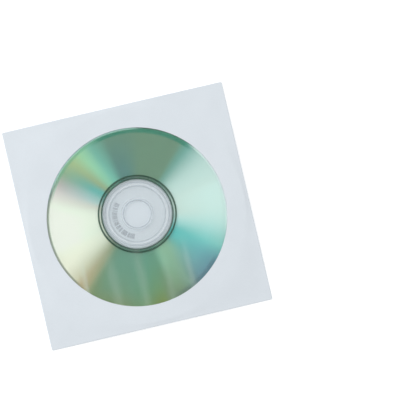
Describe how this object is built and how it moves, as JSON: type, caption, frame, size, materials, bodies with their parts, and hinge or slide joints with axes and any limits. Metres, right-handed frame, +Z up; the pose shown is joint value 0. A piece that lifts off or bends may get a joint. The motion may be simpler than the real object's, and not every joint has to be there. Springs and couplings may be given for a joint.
{
  "type": "cd sleeve",
  "caption": "Square folded paper sleeve with a round film window and a closure flap behind its back, holding an optical disc.",
  "frame": {"origin": "on the resting plane, under the middle of the square sleeve", "axes": "+Z up, out of the window; +Y towards the fold that closes the mouth; +X to the right, seen from above"},
  "size_m": [0.125, 0.125, 0.0021],
  "materials": {
    "sleeve_paper": "plain uncoated white paper with a faint cool tint",
    "clear_film": "thin clear plastic film, glossy with soft ripples",
    "disc_plastic": "clear polycarbonate, polished",
    "disc_coating": "mirror metal under a pale green dye, with soft radial colours"
  },
  "bodies": {
    "root": {"sleeve": "sleeve_paper", "window_film": "clear_film", "disc": "disc_plastic", "reflective_layer": "disc_coating"}
  },
  "joints": []
}
